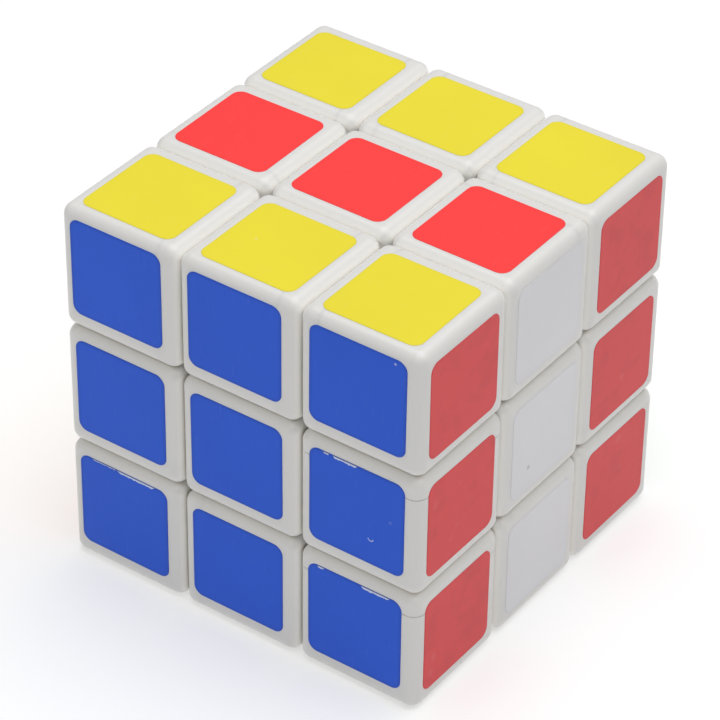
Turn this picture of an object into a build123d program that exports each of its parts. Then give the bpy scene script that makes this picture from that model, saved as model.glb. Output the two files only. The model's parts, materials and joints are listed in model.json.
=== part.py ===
"""Twisty puzzle cube: three layers each way, six faces that turn about a six-armed core.

The frame has its origin at the middle of the cube, +Z through the top, -Y through the front
and +X through the right side.  The inside is cut by three nested spheres.  Outside the outer
track the seams lie at the sides of the blocks, and further in they step towards the middle,
so that every piece has a foot that hooks under its neighbours.
"""
from build123d import *
from itertools import product
import os

# Driving dimensions, millimetres
CUBE_SIZE = 57.0
LAYERS = 3
EDGE_ROUND = 1.7
WALL = 1.4
CLEARANCE = 0.1

# Each hollow piece is closed by a lid with a lip that sits inside the walls
LID_THICKNESS = 3.0
LIP_HEIGHT = 1.6
LIP_WIDTH = 1.2
LIP_GAP = 0.05
# A fine groove runs round the joints of the centres, and of the pieces that are named here
GROOVE_WIDTH = 0.12
GROOVE_DEPTH = 0.12
GROOVED_PIECES = ("corner_bottom_front_right", "edge_front_right")

# The tracks are spheres, and each has its own distance from the middle to its seam planes
OUTER_TRACK = 21.0
INNER_TRACK = 16.5
CORE_REACH = 10.0
OUTER_FOOT_SEAM = 7.0
INNER_FOOT_SEAM = 4.75
FOOT_ROUND = 0.8
NECK_OVERLAP = 1.0

CORNER_STEM_RADIUS = 2.6
EDGE_STEM_RADIUS = 4.0
STEM_REACH = 26.0
STEM_CHAMFER = 0.6

HUB_SIZE = 11.0
HUB_ROUND = 2.2
ARM_RADIUS = 4.3

SCREW_RADIUS = 1.45
SCREW_TIP = 3.6
SCREW_TIP_CHAMFER = 0.6
HEAD_RADIUS = 2.9
HEAD_HEIGHT = 2.0
HEAD_ROUND = 0.7
RECESS_LENGTH = 3.4
RECESS_WIDTH = 0.8
RECESS_DEPTH = 1.2

WELL_RADIUS = 3.4
WELL_FLOOR = 13.2
WELL_WALL = 1.2
BORE_RADIUS = 1.6

SPRING_RADIUS = 2.4
SPRING_WIRE_RADIUS = 0.35
SPRING_LENGTH = 6.8
SPRING_TURNS = 4.5
WASHER_RADIUS = 3.0
WASHER_THICKNESS = 0.5

# Worked out from the driving dimensions
half_size = CUBE_SIZE / 2
seam = CUBE_SIZE / LAYERS / 2
block_inner = seam + CLEARANCE
block_side = seam - CLEARANCE
outer_foot_inner = OUTER_FOOT_SEAM + CLEARANCE
outer_foot_side = OUTER_FOOT_SEAM - CLEARANCE
inner_foot_inner = INNER_FOOT_SEAM + CLEARANCE
inner_foot_side = INNER_FOOT_SEAM - CLEARANCE
block_floor = OUTER_TRACK + CLEARANCE
cavity_floor = block_floor + WALL
cap_plane = half_size - LID_THICKNESS
washer_seat = WELL_FLOOR + SPRING_LENGTH
head_seat = washer_seat + WASHER_THICKNESS

VERTICAL = {"top": (0, 0, 1), "bottom": (0, 0, -1)}
DEPTH = {"front": (0, -1, 0), "back": (0, 1, 0)}
SIDE = {"left": (-1, 0, 0), "right": (1, 0, 0)}


def span_box(low, high):
    """A box between two opposite points."""
    size = [b - a for a, b in zip(low, high)]
    middle = [(a + b) / 2 for a, b in zip(low, high)]
    return Pos(*middle) * Box(*size)


def rounded_box(low, high, radius):
    box = span_box(low, high)
    return fillet(box.edges(), radius)


def ball(radius):
    """A sphere about the middle of the cube, with its own seam line turned away to -X."""
    return Rot(0, 0, 180) * Sphere(radius)


def bar(radius, length):
    """A round bar that stands on the origin, along +Z."""
    return Cylinder(radius, length, align=(Align.CENTER, Align.CENTER, Align.MIN))


def rod(radius, start, end):
    """A round bar along +X."""
    return Pos(start, 0, 0) * Rot(0, 90, 0) * bar(radius, end - start)


def track_piece(low, high, inner_radius, outer_radius):
    """The part of a rounded box that lies between two spheres."""
    box = rounded_box(low, high, FOOT_ROUND)
    return (box & ball(outer_radius)) - ball(inner_radius)


def stem(radius, direction):
    """A round stem that stands on a foot and plugs into the floor of its block."""
    start = INNER_TRACK + NECK_OVERLAP
    peg = bar(radius, STEM_REACH - start)
    peg = chamfer(peg.edges().group_by(Axis.Z)[-1], STEM_CHAMFER)
    outward = Vector(*direction).normalized()
    return Plane(origin=outward * start, z_dir=outward) * peg


def lip(low, high):
    """The lip of a lid: a frame just inside the walls of a cavity, and clear of its floor."""
    x_low, y_low, z_low = low
    x_high, y_high, z_high = high
    outer_low = (x_low + LIP_GAP, y_low + LIP_GAP, z_low)
    outer_high = (x_high - LIP_GAP, y_high - LIP_GAP, z_low + LIP_HEIGHT)
    inner_low = (x_low + LIP_WIDTH, y_low + LIP_WIDTH, z_low)
    inner_high = (x_high - LIP_WIDTH, y_high - LIP_WIDTH, z_high)
    frame = span_box(outer_low, outer_high) - span_box(inner_low, inner_high)
    return frame - ball(cavity_floor + LIP_GAP)


def joint_groove(low, high, slab_low, slab_high):
    """What a groove takes off the outside of a block, within a thin slab."""
    inner_low = [value + GROOVE_DEPTH for value in low]
    inner_high = [value - GROOVE_DEPTH for value in high]
    return span_box(slab_low, slab_high) - rounded_box(inner_low, inner_high, EDGE_ROUND - GROOVE_DEPTH)


def hollow_shell(low, high, foot_stem, grooved):
    """A rounded block on a spherical floor, as a hollow box and a lid that close round a stem.

    The lid is the LID_THICKNESS of the block that is lowest in Z.  Where the joint is not
    grooved, the lid meets the box flush.
    """
    parting = low[2] + LID_THICKNESS
    cavity_low = (low[0] + WALL, low[1] + WALL, parting)
    cavity_high = [value - WALL for value in high]
    block = rounded_box(low, high, EDGE_ROUND) - ball(block_floor)
    if grooved:
        slab_low = (low[0], low[1], parting - GROOVE_WIDTH / 2)
        slab_high = (high[0], high[1], parting + GROOVE_WIDTH / 2)
        block -= joint_groove(low, high, slab_low, slab_high)
    lid_slab = span_box(low, (high[0], high[1], parting))
    cavity = span_box(cavity_low, cavity_high) - ball(cavity_floor)
    box = block - lid_slab - cavity - foot_stem
    lid = (block & lid_slab) + lip(cavity_low, cavity_high) - foot_stem
    return box, lid


def corner_shell(grooved):
    low = (block_inner,) * 3
    high = (half_size,) * 3
    return hollow_shell(low, high, stem(CORNER_STEM_RADIUS, (1, 1, 1)), grooved)


def corner_foot():
    low = (outer_foot_inner,) * 3
    high = (OUTER_TRACK,) * 3
    plate = track_piece(low, high, INNER_TRACK + CLEARANCE, OUTER_TRACK - CLEARANCE)
    return plate + stem(CORNER_STEM_RADIUS, (1, 1, 1))


def edge_shell(grooved):
    low = (block_inner, block_inner, -block_side)
    high = (half_size, half_size, block_side)
    return hollow_shell(low, high, stem(EDGE_STEM_RADIUS, (1, 1, 0)), grooved)


def edge_foot():
    outer_low = (outer_foot_inner, outer_foot_inner, -outer_foot_side)
    outer_high = (OUTER_TRACK, OUTER_TRACK, outer_foot_side)
    plate = track_piece(outer_low, outer_high, INNER_TRACK + CLEARANCE, OUTER_TRACK - CLEARANCE)
    inner_low = (inner_foot_inner, inner_foot_inner, -inner_foot_side)
    inner_high = (INNER_TRACK, INNER_TRACK, inner_foot_side)
    hook = track_piece(inner_low, inner_high, CORE_REACH + CLEARANCE, INNER_TRACK - CLEARANCE)
    neck_low = (outer_foot_inner, outer_foot_inner, -inner_foot_side)
    neck_high = (OUTER_TRACK, OUTER_TRACK, inner_foot_side)
    neck = track_piece(neck_low, neck_high, INNER_TRACK - NECK_OVERLAP, INNER_TRACK + NECK_OVERLAP)
    return hook + neck + plate + stem(EDGE_STEM_RADIUS, (1, 1, 0))


def centre_block():
    """The rounded outside of a centre piece, before it is parted into base and cap."""
    low = (block_inner, -block_side, -block_side)
    high = (half_size, block_side, block_side)
    slab_low = (cap_plane - GROOVE_WIDTH / 2, -block_side, -block_side)
    slab_high = (cap_plane + GROOVE_WIDTH / 2, block_side, block_side)
    block = rounded_box(low, high, EDGE_ROUND) - ball(block_floor)
    return block - joint_groove(low, high, slab_low, slab_high)


def centre_base():
    inside = block_side - WALL
    reach = half_size
    box = centre_block() & span_box((0, -reach, -reach), (cap_plane, reach, reach))
    cavity = span_box((0, -inside, -inside), (cap_plane, inside, inside)) - ball(cavity_floor)
    tube = rod(WELL_RADIUS + WELL_WALL, CORE_REACH, cap_plane)
    outer_low = (OUTER_FOOT_SEAM, -outer_foot_side, -outer_foot_side)
    outer_high = (half_size, outer_foot_side, outer_foot_side)
    collar = track_piece(outer_low, outer_high, INNER_TRACK + CLEARANCE, block_floor + WALL / 2)
    inner_low = (INNER_FOOT_SEAM, -inner_foot_side, -inner_foot_side)
    inner_high = (half_size, inner_foot_side, inner_foot_side)
    column = track_piece(inner_low, inner_high, CORE_REACH + CLEARANCE, INNER_TRACK + NECK_OVERLAP)
    well = rod(WELL_RADIUS, WELL_FLOOR, half_size)
    bore = rod(BORE_RADIUS, 0, half_size)
    return box - (cavity - tube) + collar + column - well - bore


def centre_cap():
    reach = half_size
    plate = centre_block() & span_box((cap_plane, -reach, -reach), (reach, reach, reach))
    outer = block_side - WALL - LIP_GAP
    inner = block_side - WALL - LIP_WIDTH
    lip_start = cap_plane - LIP_HEIGHT
    frame = span_box((lip_start, -outer, -outer), (cap_plane, outer, outer))
    return plate + (frame - span_box((lip_start, -inner, -inner), (cap_plane, inner, inner)))


def core():
    """Six round arms on a hub, each drilled for a tension screw."""
    spider = rounded_box((-HUB_SIZE / 2,) * 3, (HUB_SIZE / 2,) * 3, HUB_ROUND)
    arm = rod(ARM_RADIUS, HUB_SIZE / 4, CORE_REACH) & ball(CORE_REACH - CLEARANCE)
    hole = rod(SCREW_RADIUS, SCREW_TIP, CORE_REACH)
    for direction in all_faces().values():
        spider += facing(direction) * arm
    for direction in all_faces().values():
        spider -= facing(direction) * hole
    return spider


def tension_screw():
    shank = rod(SCREW_RADIUS, SCREW_TIP, head_seat)
    shank = chamfer(shank.edges().group_by(Axis.X)[0], SCREW_TIP_CHAMFER)
    head = rod(HEAD_RADIUS, head_seat, head_seat + HEAD_HEIGHT)
    head = fillet(head.edges().group_by(Axis.X)[-1], HEAD_ROUND)
    recess_floor = head_seat + HEAD_HEIGHT - RECESS_DEPTH
    reach = RECESS_LENGTH / 2
    width = RECESS_WIDTH / 2
    upright = span_box((recess_floor, -width, -reach), (half_size, width, reach))
    level = span_box((recess_floor, -reach, -width), (half_size, reach, width))
    return shank + head - upright - level


def washer():
    return rod(WASHER_RADIUS, washer_seat, head_seat) - rod(SCREW_RADIUS, washer_seat, head_seat)


def spring():
    """A coil spring between the floor of the well and the washer."""
    height = SPRING_LENGTH - 2 * SPRING_WIRE_RADIUS
    coil = Helix(pitch=height / SPRING_TURNS, height=height, radius=SPRING_RADIUS)
    section = Plane(origin=coil @ 0, z_dir=coil % 0) * Circle(SPRING_WIRE_RADIUS)
    wire = sweep(section, path=coil, is_frenet=True)
    return Pos(WELL_FLOOR + SPRING_WIRE_RADIUS, 0, 0) * Rot(0, 90, 0) * wire


def all_faces():
    return {**VERTICAL, **DEPTH, **SIDE}


def turned(x_direction, y_direction):
    """The turn about the middle of the cube that takes +X and +Y to two directions."""
    z_direction = Vector(*x_direction).cross(Vector(*y_direction))
    return Plane(origin=(0, 0, 0), x_dir=x_direction, z_dir=z_direction).location


def facing(direction):
    """The turn that takes +X to one face."""
    x, y, z = direction
    return turned(direction, (z, x, y))


def corner_place(lid_face, second, third):
    """The turn that takes +Z, where a corner's lid faces inwards, to the first of three faces."""
    handed = Vector(*second).cross(Vector(*third)).dot(Vector(*lid_face))
    if handed > 0:
        return turned(second, third)
    return turned(third, second)


def write(name, place, *solids):
    """One node, as one file that holds its separate solids."""
    shape = Compound([place * solid for solid in solids])
    shape.label = name
    export_step(shape, f"parts/{name}.step")


def write_corners():
    shells = {grooved: corner_shell(grooved) for grooved in (False, True)}
    foot = corner_foot()
    for (v_name, v), (d_name, d), (s_name, s) in product(VERTICAL.items(), DEPTH.items(), SIDE.items()):
        name = f"corner_{v_name}_{d_name}_{s_name}"
        # The lids of the lower corners face up, and those of the upper ones face sideways
        place = corner_place(v, d, s) if v_name == "bottom" else corner_place(s, v, d)
        write(f"{name}_shell", place, *shells[name in GROOVED_PIECES])
        write(f"{name}_foot", place, foot)


def write_edges():
    shells = {grooved: edge_shell(grooved) for grooved in (False, True)}
    foot = edge_foot()
    for first, second in ((DEPTH, VERTICAL), (SIDE, VERTICAL), (SIDE, DEPTH)):
        for (a_name, a), (b_name, b) in product(first.items(), second.items()):
            name = f"edge_{b_name}_{a_name}"
            place = turned(a, b)
            write(f"{name}_shell", place, *shells[name in GROOVED_PIECES])
            write(f"{name}_foot", place, foot)


def write_centres():
    base = centre_base()
    cap = centre_cap()
    for name, direction in all_faces().items():
        write(f"centre_{name}_base", facing(direction), base)
        write(f"centre_{name}_cap", facing(direction), cap)


def write_six(name, solid):
    """One node with the same solid at each of the six faces."""
    write(name, Location(), *[facing(direction) * solid for direction in all_faces().values()])


os.makedirs("parts", exist_ok=True)
write("core", Location(), core())
write_six("tension_screws", tension_screw())
write_six("washers", washer())
write_six("springs", spring())
write_centres()
write_edges()
write_corners()
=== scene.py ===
"""Looks of the twisty puzzle cube: plastics, metals, stickers, and the studio round them."""
import json
import math
import random

import bmesh
import bpy
from mathutils import Matrix, Vector

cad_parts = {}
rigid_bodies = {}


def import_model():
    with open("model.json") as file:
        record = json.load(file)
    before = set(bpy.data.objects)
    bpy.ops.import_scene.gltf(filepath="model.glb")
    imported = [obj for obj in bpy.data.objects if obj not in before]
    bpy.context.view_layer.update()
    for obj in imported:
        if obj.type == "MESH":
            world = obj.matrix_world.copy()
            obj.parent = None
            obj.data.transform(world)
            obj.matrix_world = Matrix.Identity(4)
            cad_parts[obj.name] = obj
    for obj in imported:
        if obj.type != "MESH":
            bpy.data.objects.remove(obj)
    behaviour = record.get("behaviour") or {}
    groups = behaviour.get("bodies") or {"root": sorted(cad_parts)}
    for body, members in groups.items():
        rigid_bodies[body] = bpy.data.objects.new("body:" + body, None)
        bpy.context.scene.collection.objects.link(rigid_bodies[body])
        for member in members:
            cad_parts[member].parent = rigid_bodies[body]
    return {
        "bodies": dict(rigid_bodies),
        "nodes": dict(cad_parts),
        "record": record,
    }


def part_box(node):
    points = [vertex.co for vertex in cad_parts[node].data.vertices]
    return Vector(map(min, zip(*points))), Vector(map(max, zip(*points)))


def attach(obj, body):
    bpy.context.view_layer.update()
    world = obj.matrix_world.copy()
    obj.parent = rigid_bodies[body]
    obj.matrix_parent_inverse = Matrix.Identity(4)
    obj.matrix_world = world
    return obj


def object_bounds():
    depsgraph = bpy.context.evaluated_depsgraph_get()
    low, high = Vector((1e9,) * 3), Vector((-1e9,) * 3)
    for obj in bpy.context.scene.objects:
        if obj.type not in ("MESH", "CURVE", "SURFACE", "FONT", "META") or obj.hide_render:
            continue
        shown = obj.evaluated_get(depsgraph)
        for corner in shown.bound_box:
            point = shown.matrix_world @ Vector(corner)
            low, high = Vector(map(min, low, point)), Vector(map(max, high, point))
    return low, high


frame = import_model()
cad_low, cad_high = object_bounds()

MM = 0.001

# The layers, from the frame
HALF_SIZE = cad_high.x
PITCH = (cad_high.x - cad_low.x) / 3
SEAM = PITCH / 2

# Stickers
STICKER_SHARE = 0.778
STICKER_SIZE = STICKER_SHARE * PITCH
STICKER_CORNER = 1.45 * MM
STICKER_THICKNESS = 0.08 * MM
STICKER_SUNK = 0.02 * MM
STICKER_RIM = 0.03 * MM
STICKER_SHIFT = 0.08 * MM
STICKER_TURN = math.radians(0.3)
SIDE_POINTS = 72
CORNER_POINTS = 10
SMALLEST_CORNER = 0.2 * MM
SHARP_ANGLE = math.radians(50)
STICKER_SEED = 57
RING_INSETS = (0.12 * MM, 0.25 * MM, 0.5 * MM, 0.9 * MM, 2.0 * MM, 4.5 * MM)
# The cases' rounded edges, which a sticker set off centre bends over
CASE_ROUND = 1.7 * MM
CASE_GAP = 0.1 * MM
# How far each face's stickers sit off centre, to the right and up, as they were stuck on
FACE_SHIFT = {
    "front": (-0.23 * MM, 0.68 * MM),
    "top": (-0.06 * MM, -0.38 * MM),
    "right": (-0.22 * MM, 0.24 * MM),
}

# Worn stretches of the upper edge: where they start and end along it from the left, and their depth
WORN_EDGES = {
    "edge_front_right": [(0.05, 0.14, 0.40 * MM), (0.17, 0.52, 0.50 * MM)],
    "corner_bottom_front_right": [(0.00, 0.10, 0.42 * MM), (0.57, 0.98, 0.52 * MM)],
    "corner_bottom_front_left": [(0.03, 0.42, 0.30 * MM), (0.38, 0.98, 0.50 * MM)],
}
# The share of a worn stretch over which it comes to its full depth, at each end
WORN_ENDS = 1 / 8

# Camera
CAMERA_AZIMUTH = math.radians(35.35)
CAMERA_ELEVATION = math.radians(36.50)
CAMERA_ROLL = math.radians(0.72)
CAMERA_DISTANCE = 0.473
CAMERA_LENS = 176.3
CAMERA_AIM = Vector((-0.50, -0.82, -0.51)) * MM

FACES = {
    "top": Vector((0, 0, 1)),
    "bottom": Vector((0, 0, -1)),
    "front": Vector((0, -1, 0)),
    "back": Vector((0, 1, 0)),
    "left": Vector((-1, 0, 0)),
    "right": Vector((1, 0, 0)),
}
SOLVED_COLOURS = {
    "top": "yellow",
    "bottom": "white",
    "front": "blue",
    "back": "green",
    "left": "orange",
    # The right face's red is the darker copy of red, painted shade
    "right": "shaded_red",
}
# The slice between front and back stands a quarter turn round, and shows its neighbours' colours
SLICE_COLOURS = {"top": "red", "right": "white", "bottom": "orange", "left": "yellow"}

# The two reds are lit and shaded copies of one red: the one on the top is a little lighter, painted
# light, and the one on the right face is darker, painted shade
STICKER_COLOURS = {
    "blue": (0.006, 0.088, 0.640),
    "yellow": (0.765, 0.660, 0.036),
    "red": (0.920, 0.049, 0.049),
    "shaded_red": (0.690, 0.045, 0.052),
    "orange": (0.880, 0.210, 0.020),
    "green": (0.014, 0.300, 0.075),
    "white": (0.695, 0.695, 0.722),
}
# Painted shade along a sticker's edge, where it bends over the case's rounding: how much darker each
# colour is in a narrow band there, with the plain amount below for the other colours
EDGE_SHADE = {"blue": 0.8}
PLAIN_EDGE_SHADE = 0.1
EDGE_SHADE_REACH = (0.15 * MM, 0.60 * MM)
WORN_COLOUR = (0.62, 0.67, 0.78)
EDGE_COLOUR = (0.10, 0.13, 0.22)
DIRT_COLOUR = (0.20, 0.19, 0.18)
# How strongly a colour is blotched by fading
BLOTCHES = {"shaded_red": 0.30}
# Marks at known places on the stickers of one colour: where, how wide, in what colour, how strong
DOTS = {
    "blue": (
        (Vector((24.46 * MM, -HALF_SIZE, 26.32 * MM)), 0.26 * MM, WORN_COLOUR, 0.60),
        (Vector((24.14 * MM, -HALF_SIZE, 1.37 * MM)), 0.34 * MM, WORN_COLOUR, 0.12),
    ),
    "white": (
        (Vector((HALF_SIZE, -3.59 * MM, -3.44 * MM)), 0.48 * MM, DIRT_COLOUR, 0.40),
    ),
}
# A nick in the vinyl of one blue sticker, shaped like the lower half of a ring
NICK_COLOUR = "blue"
NICK_PLACE = Vector((21.16 * MM, -HALF_SIZE, -2.61 * MM))
NICK_RADIUS = 0.38 * MM
NICK_STRENGTH = 0.6
NICK_REACH = (0.04 * MM, 0.12 * MM)

# Case plastic: its two shades, and painted light on the way into a seam, in the seam and in the
# notches where seams cross, lifting the shade that falls there, with their reach from it
PLASTIC_SHADES = ((0.665, 0.658, 0.640), (0.690, 0.684, 0.668))
ROUNDING_PAINTED_LIGHT = (0.73, 0.722, 0.70)
ROUNDING_LIGHT_REACH = (0.4 * MM, 1.6 * MM)
SEAM_PAINTED_LIGHT = (0.85, 0.835, 0.80)
SEAM_LIGHT_REACH = (0.2 * MM, 0.9 * MM)
NOTCH_PAINTED_LIGHT = (0.93, 0.92, 0.885)
NOTCH_REACH = (0.4 * MM, 1.4 * MM)
# Dark tint deep in the seams, partly dust and partly painted shade, weaker near the top where the
# light falls into them: how strong it is low down and near the top, and where it changes
SEAM_DUST_AND_SHADE = (0.42, 0.38, 0.30)
DUST_AND_SHADE_REACH = (0.10 * MM, 0.30 * MM)
DUST_AND_SHADE_LOW, DUST_AND_SHADE_TOP = 0.7, 0.08
DUST_AND_SHADE_HEIGHTS = (19.0 * MM, 27.0 * MM)
SCRATCH_COLOUR = (0.50, 0.50, 0.48)
# Light scattered under the surface, away from the notches and in them
SCATTER_PLAIN, SCATTER_NOTCH = 0.30, 0.70
SCATTER_RADIUS = (1.0, 0.93, 0.85)
SCATTER_SCALE = 1.0 * MM

# Plastic of the feet and the core
INNER_SHADES = ((0.72, 0.715, 0.69), (0.80, 0.795, 0.775))

# Metals: dark shade, light shade and lowest roughness
METALS = {
    "steel": ((0.50, 0.50, 0.49), (0.68, 0.68, 0.66), 0.22),
    "spring_steel": ((0.34, 0.34, 0.35), (0.52, 0.52, 0.54), 0.30),
}

# Three directions of fine scratches
SCRATCH_TURNS = ((0.3, 0.5, 0.9), (1.1, 0.2, 2.2), (0.7, 1.3, 0.1))

# Studio: the floor, the even light all round, and each softbox's place, width and power
FLOOR_REACH = 3.0
FLOOR_SHADES = ((0.59, 0.59, 0.59), (0.61, 0.61, 0.61))
FLOOR_GLOW = 0.40
WORLD_STRENGTH = 0.275
SOFTBOXES = {
    "softbox_top": ((0.08, 0.10, 0.80), 0.9, 7.3),
    "softbox_front": ((-0.35, -0.85, 0.45), 0.8, 0.8),
    "softbox_key": ((0.38, -0.62, 0.60), 0.2, 0.35),
}


class NodeTree:
    """One material's nodes, written as nested calls."""

    def __init__(self, name):
        self.material = bpy.data.materials.new(name)
        self.material.use_nodes = True
        self.tree = self.material.node_tree
        self.tree.nodes.clear()

    def add(self, kind, inputs=None, **settings):
        node = self.tree.nodes.new(kind)
        for key, value in settings.items():
            setattr(node, key, value)
        for key, value in (inputs or {}).items():
            self.put(node.inputs[key], value)
        return node

    def put(self, socket, value):
        if isinstance(value, bpy.types.NodeSocket):
            self.tree.links.new(value, socket)
        else:
            socket.default_value = value

    def math(self, operation, first, second=0.0):
        return self.add("ShaderNodeMath", {0: first, 1: second}, operation=operation).outputs[0]

    def product(self, first, second):
        return self.math("MULTIPLY", first, second)

    def from_one(self, value):
        return self.math("SUBTRACT", 1.0, value)

    def smooth(self, value, low, high):
        """0 below low, 1 above high, and a smooth step between them."""
        inputs = {"Value": value, "From Min": low, "From Max": high}
        return self.add("ShaderNodeMapRange", inputs, interpolation_type="SMOOTHSTEP").outputs[0]

    def near(self, distance, reach):
        """1 up to the reach's first distance, 0 from its second on, and a smooth step between them."""
        return self.from_one(self.smooth(distance, *reach))

    def scaled(self, value, to_low, to_high):
        """A value from 0 to 1, stretched to another range."""
        inputs = {"Value": value, "To Min": to_low, "To Max": to_high}
        return self.add("ShaderNodeMapRange", inputs).outputs[0]

    def mix(self, factor, first, second):
        node = self.add("ShaderNodeMix", {"Factor": factor}, data_type="RGBA")
        self.put(node.inputs[6], first)
        self.put(node.inputs[7], second)
        return node.outputs[2]

    def place(self):
        """The point's place in the object's own frame, which stays with the piece when it moves."""
        return self.add("ShaderNodeTexCoord").outputs["Object"]

    def height(self, place):
        return self.add("ShaderNodeSeparateXYZ", {0: place}).outputs[2]

    def attribute(self, name):
        return self.add("ShaderNodeAttribute", attribute_name=name).outputs["Fac"]

    def stretched(self, vector, scale, rotation):
        inputs = {"Vector": vector, "Scale": scale, "Rotation": rotation}
        return self.add("ShaderNodeMapping", inputs).outputs[0]

    def noise(self, vector, scale, detail):
        inputs = {"Vector": vector, "Scale": scale, "Detail": detail, "Roughness": 0.55}
        return self.add("ShaderNodeTexNoise", inputs).outputs["Fac"]

    def away(self, vector, centre):
        """How far a point is from a fixed one."""
        node = self.add("ShaderNodeVectorMath", {0: vector, 1: centre}, operation="DISTANCE")
        return node.outputs["Value"]

    def cells(self, vector, scale):
        """How far a point is from the nearest of many scattered ones."""
        node = self.add("ShaderNodeTexVoronoi", {"Vector": vector, "Scale": scale}, feature="F1")
        return node.outputs["Distance"]

    def bump(self, height, distance, strength, normal=None):
        inputs = {"Height": height, "Distance": distance, "Strength": strength}
        if normal is not None:
            inputs["Normal"] = normal
        return self.add("ShaderNodeBump", inputs).outputs[0]

    def finish(self, inputs):
        shader = self.add("ShaderNodeBsdfPrincipled", inputs)
        output = self.add("ShaderNodeOutputMaterial")
        self.tree.links.new(shader.outputs[0], output.inputs[0])
        return self.material


def rgba(colour, gain=1.0):
    return tuple(channel * gain for channel in colour) + (1.0,)


def scratches(nodes, place, threshold):
    """Fine straight scratches in three directions, 0 to 1."""
    total = 0.0
    for number, turn in enumerate(SCRATCH_TURNS):
        along = nodes.stretched(place, (3800 + 300 * number, 260, 260), turn)
        line = nodes.smooth(nodes.noise(along, 1.0, 1.0), threshold, threshold + 0.05)
        total = nodes.math("MAXIMUM", line, total)
    return total


def seam_distances(nodes, place):
    """How far a point is from the nearer plane between two layers, on each axis, in metres."""
    parts = nodes.add("ShaderNodeSeparateXYZ", {0: place}).outputs
    return [
        nodes.math("ABSOLUTE", nodes.math("SUBTRACT", nodes.math("ABSOLUTE", part), SEAM))
        for part in parts
    ]


def seam_crossing(nodes, distances):
    """1 where two seams cross, in the notch between four pieces, and 0 elsewhere."""
    total = 0.0
    for distance in distances:
        total = nodes.math("ADD", nodes.near(distance, NOTCH_REACH), total)
    return nodes.smooth(total, 1.2, 2.0)


def white_plastic():
    """Glossy white case plastic, a little handled, with painted light on the way into the seams and in
    the notches, and a dark tint deep in the seams that is partly dust and partly painted shade.
    """
    nodes = NodeTree("white_plastic")
    place = nodes.place()
    cloud = nodes.noise(place, 60.0, 2.0)
    patch = nodes.noise(place, 420.0, 4.0)
    distances = seam_distances(nodes, place)
    nearest = PITCH
    for distance in distances:
        nearest = nodes.math("MINIMUM", distance, nearest)
    crossing = seam_crossing(nodes, distances)
    # Dark tint deep in the seams, partly dust and partly painted shade: strong low down, weak near the
    # top, where the light falls into the seams
    toward_top = nodes.smooth(nodes.height(place), *DUST_AND_SHADE_HEIGHTS)
    dust_and_shade_share = nodes.product(nodes.scaled(patch, 0.4, 1.0), nodes.scaled(toward_top, DUST_AND_SHADE_LOW, DUST_AND_SHADE_TOP))
    lines = scratches(nodes, place, 0.735)

    colour = nodes.mix(cloud, *map(rgba, PLASTIC_SHADES))
    # Painted light: the plastic is lighter on the rounding into a seam, in the seam and in the notches
    # where seams cross, lifting the shade there
    colour = nodes.mix(nodes.near(nearest, ROUNDING_LIGHT_REACH), colour, rgba(ROUNDING_PAINTED_LIGHT))
    colour = nodes.mix(nodes.near(nearest, SEAM_LIGHT_REACH), colour, rgba(SEAM_PAINTED_LIGHT))
    dust_and_shade = nodes.product(nodes.near(nearest, DUST_AND_SHADE_REACH), dust_and_shade_share)
    colour = nodes.mix(dust_and_shade, colour, rgba(SEAM_DUST_AND_SHADE))
    colour = nodes.mix(crossing, colour, rgba(NOTCH_PAINTED_LIGHT))
    colour = nodes.mix(nodes.product(lines, 0.03), colour, rgba(SCRATCH_COLOUR))
    skin = nodes.bump(nodes.noise(place, 700.0, 2.0), 0.004 * MM, 0.5)
    return nodes.finish({
        "Base Color": colour,
        "Roughness": nodes.math("ADD", nodes.scaled(patch, 0.30, 0.36), nodes.product(lines, 0.10)),
        "IOR": 1.5,
        "Normal": nodes.bump(lines, -0.004 * MM, 0.6, skin),
        "Subsurface Weight": nodes.scaled(crossing, SCATTER_PLAIN, SCATTER_NOTCH),
        "Subsurface Radius": SCATTER_RADIUS,
        "Subsurface Scale": SCATTER_SCALE,
    })


def inner_plastic():
    """Unpolished plastic of the feet and the core, rubbed where it slides."""
    nodes = NodeTree("inner_plastic")
    place = nodes.place()
    cloud = nodes.noise(place, 160.0, 4.0)
    lines = scratches(nodes, place, 0.66)
    colour = nodes.mix(cloud, *map(rgba, INNER_SHADES))
    colour = nodes.mix(nodes.product(lines, 0.25), colour, rgba(SCRATCH_COLOUR))
    rough = nodes.math("SUBTRACT", nodes.scaled(cloud, 0.42, 0.60), nodes.product(lines, 0.12))
    return nodes.finish({
        "Base Color": colour,
        "Roughness": rough,
        "Normal": nodes.bump(nodes.noise(place, 1400.0, 3.0), 0.01 * MM, 0.6),
    })


def metal(name, dark, light, roughness):
    """Plated or drawn steel with fine marks."""
    nodes = NodeTree(name)
    place = nodes.place()
    cloud = nodes.noise(place, 420.0, 5.0)
    lines = scratches(nodes, place, 0.62)
    smooth_part = nodes.scaled(cloud, roughness, roughness + 0.14)
    rough = nodes.math("ADD", smooth_part, nodes.product(lines, 0.2))
    return nodes.finish({
        "Base Color": nodes.mix(cloud, rgba(dark), rgba(light)),
        "Metallic": 1.0,
        "Roughness": rough,
        "Normal": nodes.bump(lines, 0.006 * MM, 0.5),
    })


def add_dots(nodes, place, shade, dots):
    """Soft round marks at known places."""
    for where, radius, mark, strength in dots:
        dab = nodes.near(nodes.away(place, where), (0.4 * radius, radius))
        shade = nodes.mix(nodes.product(dab, strength), shade, rgba(mark))
    return shade


def add_nick(nodes, place, shade):
    """The lower half of a ring, scratched into the print."""
    off_ring = nodes.math("SUBTRACT", nodes.away(place, NICK_PLACE), NICK_RADIUS)
    ring = nodes.near(nodes.math("ABSOLUTE", off_ring), NICK_REACH)
    lower = nodes.math("LESS_THAN", nodes.height(place), NICK_PLACE.z)
    nick = nodes.product(nodes.product(ring, lower), NICK_STRENGTH)
    return nodes.mix(nick, shade, rgba(WORN_COLOUR))


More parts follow.
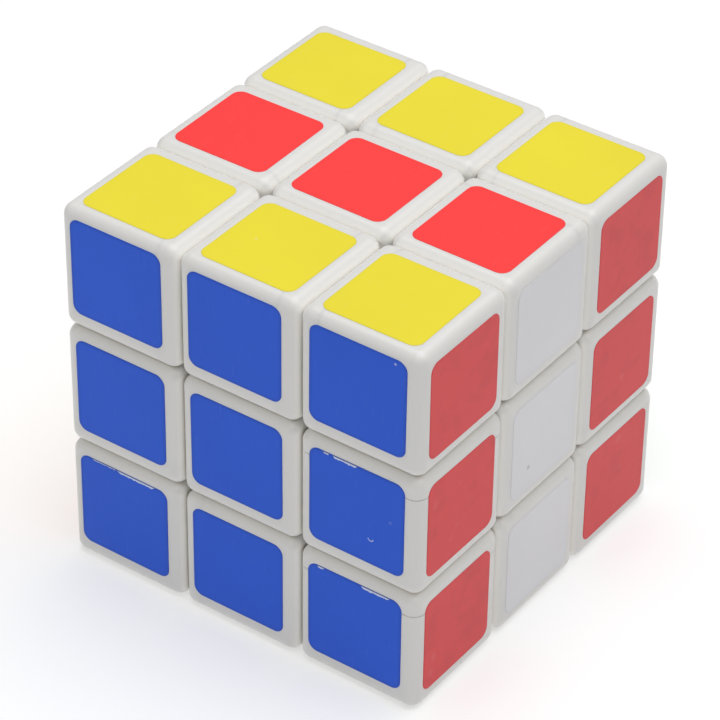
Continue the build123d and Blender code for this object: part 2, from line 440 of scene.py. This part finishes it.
def sticker_vinyl(name, colour):
    """Printed vinyl: mottled a little, with painted shade along its edge, dust, a few marks, and the
    print rubbed off in places.

    The mesh gives two distances: 'inside', in from the sticker's edge, and 'wear', how far in from
    the edge the print is rubbed off there.
    """
    nodes = NodeTree(f"sticker_{name}")
    place = nodes.place()
    inside = nodes.attribute("inside")
    wear = nodes.attribute("wear")
    cloud = nodes.noise(place, 60.0, 3.0)
    patch = nodes.noise(place, 520.0, 4.0)
    fine = nodes.noise(place, 2600.0, 3.0)

    # The print: uneven, blotched where it has faded, with painted shade along the edge
    shade = nodes.mix(cloud, rgba(colour, 0.94), rgba(colour, 1.05))
    shade = nodes.mix(nodes.scaled(patch, 0.0, 0.10), shade, rgba(colour, 0.82))
    blotch = nodes.smooth(nodes.noise(place, 230.0, 3.0), 0.46, 0.68)
    shade = nodes.mix(nodes.product(blotch, BLOTCHES.get(name, 0.0)), shade, rgba(colour, 0.70))
    edge_shade = nodes.product(nodes.near(inside, EDGE_SHADE_REACH), EDGE_SHADE.get(name, PLAIN_EDGE_SHADE))
    shade = nodes.mix(edge_shade, shade, rgba(colour, 0.80))

    # Rubbed off, inside a dark line along the very edge
    ragged = nodes.product(nodes.math("SUBTRACT", fine, 0.5), 0.22 * MM)
    reach = nodes.math("ADD", nodes.math("SUBTRACT", wear, inside), ragged)
    rubbed = nodes.smooth(wear, 0.05 * MM, 0.15 * MM)
    rubbed = nodes.product(nodes.smooth(reach, 0.0, 0.06 * MM), rubbed)
    inner_side = nodes.smooth(inside, 0.10 * MM, 0.16 * MM)
    edge = nodes.product(rubbed, nodes.from_one(inner_side))
    shade = nodes.mix(nodes.product(edge, 0.6), shade, rgba(EDGE_COLOUR))
    bare = nodes.product(rubbed, inner_side)

    # Scratches and specks
    lines = scratches(nodes, place, 0.735)
    speck_size = nodes.smooth(nodes.noise(place, 140.0, 1.0), 0.55, 0.75)
    speck = nodes.math("LESS_THAN", nodes.cells(place, 300.0), nodes.product(speck_size, 0.06))
    marks = nodes.math("MAXIMUM", nodes.product(lines, 0.04), nodes.product(speck, 0.22))
    worn = nodes.math("MAXIMUM", marks, nodes.product(bare, 0.92))
    shade = nodes.mix(worn, shade, rgba(WORN_COLOUR))
    shade = add_dots(nodes, place, shade, DOTS.get(name, ()))
    if name == NICK_COLOUR:
        shade = add_nick(nodes, place, shade)

    waves = nodes.bump(nodes.noise(place, 230.0, 2.0), 0.012 * MM, 0.5)
    return nodes.finish({
        "Base Color": shade,
        "Roughness": nodes.math("ADD", nodes.scaled(patch, 0.36, 0.44), nodes.product(bare, 0.25)),
        "IOR": 1.40,
        "Specular IOR Level": 0.36,
        "Normal": nodes.bump(lines, -0.003 * MM, 0.5, waves),
    })


def paint_cad_nodes():
    """Gives every CAD node the finish that its material slot in the record names."""
    finishes = {"white_plastic": white_plastic(), "inner_plastic": inner_plastic()}
    finishes.update((name, metal(name, *look)) for name, look in METALS.items())
    for subpart in frame["record"]["subparts"]:
        node = frame["nodes"][subpart["node"]]
        for slot in node.material_slots:
            slot.material = finishes[subpart["material_slot"]]


def wear_depth(share, worn, ragged):
    """How far in from the upper edge the print is rubbed off, at one share of the way along it."""
    depth = 0.0
    for start, end, deepest in worn:
        if start < share < end:
            along = (share - start) / (end - start)
            ends = min(1.0, along / WORN_ENDS, (1 - along) / WORN_ENDS)
            depth = max(depth, deepest * ends * (0.7 + 0.3 * ragged))
    return depth


def sticker_outline(inset, worn, rng):
    """A square with round corners, as points that go round from the lower left, and their wear."""
    half = STICKER_SIZE / 2 - inset
    arc = max(STICKER_CORNER - inset, SMALLEST_CORNER)
    straight = 2 * (half - arc)
    points = []
    for quarter in range(4):
        turn = Matrix.Rotation(quarter * math.pi / 2, 2)
        for number in range(SIDE_POINTS):
            share = number / SIDE_POINTS
            wear = wear_depth(1 - share, worn, rng.random()) if quarter == 2 else 0.0
            points.append((turn @ Vector((-straight / 2 + straight * share, -half)), wear))
        for number in range(CORNER_POINTS):
            angle = -math.pi / 2 + math.pi / 2 * number / CORNER_POINTS
            centre = Vector((straight / 2, arc - half))
            points.append((turn @ (centre + arc * Vector((math.cos(angle), math.sin(angle)))), 0.0))
    return points


def draped(point, height, flat):
    """A point of a sheet, laid over a block whose flat face reaches 'flat' from its middle."""
    bend = [math.copysign(max(abs(value) - flat, 0.0) / CASE_ROUND, value) for value in point]
    radius = CASE_ROUND + height
    across = [
        max(min(value, flat), -flat) + radius * math.sin(angle)
        for value, angle in zip(point, bend)
    ]
    return Vector((*across, radius * math.cos(bend[0]) * math.cos(bend[1]) - CASE_ROUND))


def sticker_mesh(name, worn, centre, spin, flat, rng):
    """A thin sheet laid on its block, with the distances that sticker_vinyl reads."""
    mesh = bmesh.new()
    inside = mesh.verts.layers.float.new("inside")
    wear = mesh.verts.layers.float.new("wear")
    top = STICKER_THICKNESS - STICKER_SUNK
    seed = rng.random()

    def ring(inset, height):
        verts = []
        for point, depth in sticker_outline(inset, worn, random.Random(seed)):
            vert = mesh.verts.new(draped(spin @ point + centre, height, flat))
            vert[inside] = inset
            vert[wear] = depth
            verts.append(vert)
        return verts

    rings = [ring(0.0, -STICKER_SUNK), ring(0.0, top - STICKER_RIM), ring(STICKER_RIM, top)]
    rings += [ring(inset, top) for inset in RING_INSETS]
    for outer, inner in zip(rings, rings[1:]):
        for number in range(len(outer)):
            following = (number + 1) % len(outer)
            mesh.faces.new((outer[number], outer[following], inner[following], inner[number]))
    mesh.faces.new(rings[-1])
    mesh.faces.new(reversed(rings[0]))
    for face in mesh.faces:
        face.smooth = True
    data = bpy.data.meshes.new(name)
    mesh.to_mesh(data)
    mesh.free()
    data.set_sharp_from_angle(angle=SHARP_ANGLE)
    return data


def sticker_colour(words, face):
    """The colour on one face of a piece, whose name's words say where it stands."""
    in_turned_slice = not {"front", "back"} & set(words)
    colours = {**SOLVED_COLOURS, **SLICE_COLOURS} if in_turned_slice else SOLVED_COLOURS
    return colours[face]


def face_axes(face):
    """Right, up and out on one face, seen from outside."""
    out = FACES[face]
    up = {"top": Vector((0, 1, 0)), "bottom": Vector((0, -1, 0))}.get(face, Vector((0, 0, 1)))
    return up.cross(out), up, out


def add_sticker(body, face, vinyl, rng):
    """One sticker, stuck on by hand near the middle of a piece's face."""
    words = body.split("_")[1:]
    node = f"{body}_cap" if body.startswith("centre") else f"{body}_shell"
    low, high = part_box(node)
    right, up, out = face_axes(face)
    middle = (low + high) / 2
    middle += out * (HALF_SIZE - middle.dot(out))
    flat = PITCH / 2 - CASE_GAP - CASE_ROUND
    centre = Vector(FACE_SHIFT.get(face, (0, 0)))
    centre += Vector([rng.uniform(-STICKER_SHIFT, STICKER_SHIFT) for _ in range(2)])
    spin = Matrix.Rotation(rng.uniform(-STICKER_TURN, STICKER_TURN), 2)
    name = f"{body}_sticker_{face}"
    worn = WORN_EDGES.get(body, []) if face == "front" else []
    data = sticker_mesh(name, worn, centre, spin, flat, rng)
    axes = Matrix((right, up, out)).transposed()
    data.transform(Matrix.Translation(middle) @ axes.to_4x4())
    colour = sticker_colour(words, face)
    data.materials.append(vinyl[colour])
    sticker = bpy.data.objects.new(name, data)
    bpy.context.scene.collection.objects.link(sticker)
    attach(sticker, body)


def add_stickers():
    rng = random.Random(STICKER_SEED)
    vinyl = {name: sticker_vinyl(name, colour) for name, colour in STICKER_COLOURS.items()}
    for body in sorted(frame["bodies"]):
        for face in FACES:
            if face in body.split("_")[1:]:
                add_sticker(body, face, vinyl, rng)


def floor_material():
    nodes = NodeTree("floor")
    cloud = nodes.noise(nodes.place(), 3.0, 2.0)
    return nodes.finish({
        "Base Color": nodes.mix(cloud, *map(rgba, FLOOR_SHADES)),
        "Roughness": 0.7,
        "Specular IOR Level": 0.2,
        "Emission Color": rgba((1.0, 1.0, 1.0)),
        "Emission Strength": FLOOR_GLOW,
    })


def add_floor():
    data = bpy.data.meshes.new("floor")
    signs = ((-1, -1), (1, -1), (1, 1), (-1, 1))
    corners = [(x * FLOOR_REACH, y * FLOOR_REACH, 0) for x, y in signs]
    data.from_pydata(corners, [], [(0, 1, 2, 3)])
    data.materials.append(floor_material())
    floor = bpy.data.objects.new("floor", data)
    floor.location.z = cad_low.z - STICKER_THICKNESS
    bpy.context.scene.collection.objects.link(floor)


def aim(thing, place, target):
    """Puts a light or camera at a place, looking at a target."""
    thing.location = place
    thing.rotation_euler = (target - place).to_track_quat("-Z", "Y").to_euler()
    bpy.context.scene.collection.objects.link(thing)


def add_softbox(name, place, width, power):
    data = bpy.data.lights.new(name, "AREA")
    data.shape = "SQUARE"
    data.size = width
    data.energy = power
    aim(bpy.data.objects.new(name, data), Vector(place), Vector((0, 0, 0)))


def add_lights():
    world = bpy.data.worlds.new("studio")
    world.use_nodes = True
    background = world.node_tree.nodes["Background"]
    background.inputs["Color"].default_value = (1.0, 1.0, 1.0, 1.0)
    background.inputs["Strength"].default_value = WORLD_STRENGTH
    bpy.context.scene.world = world
    for name, (place, width, power) in SOFTBOXES.items():
        add_softbox(name, place, width, power)


def add_camera():
    data = bpy.data.cameras.new("camera")
    data.lens = CAMERA_LENS
    data.clip_start = 0.01
    data.clip_end = 10
    camera = bpy.data.objects.new("camera", data)
    level = math.cos(CAMERA_ELEVATION)
    toward = Vector((
        math.sin(CAMERA_AZIMUTH) * level,
        -math.cos(CAMERA_AZIMUTH) * level,
        math.sin(CAMERA_ELEVATION),
    ))
    aim(camera, CAMERA_AIM + toward * CAMERA_DISTANCE, CAMERA_AIM)
    camera.rotation_euler.rotate_axis("Z", CAMERA_ROLL)
    bpy.context.scene.camera = camera


bpy.context.scene.view_settings.view_transform = "Standard"
paint_cad_nodes()
add_stickers()
add_floor()
add_lights()
add_camera()
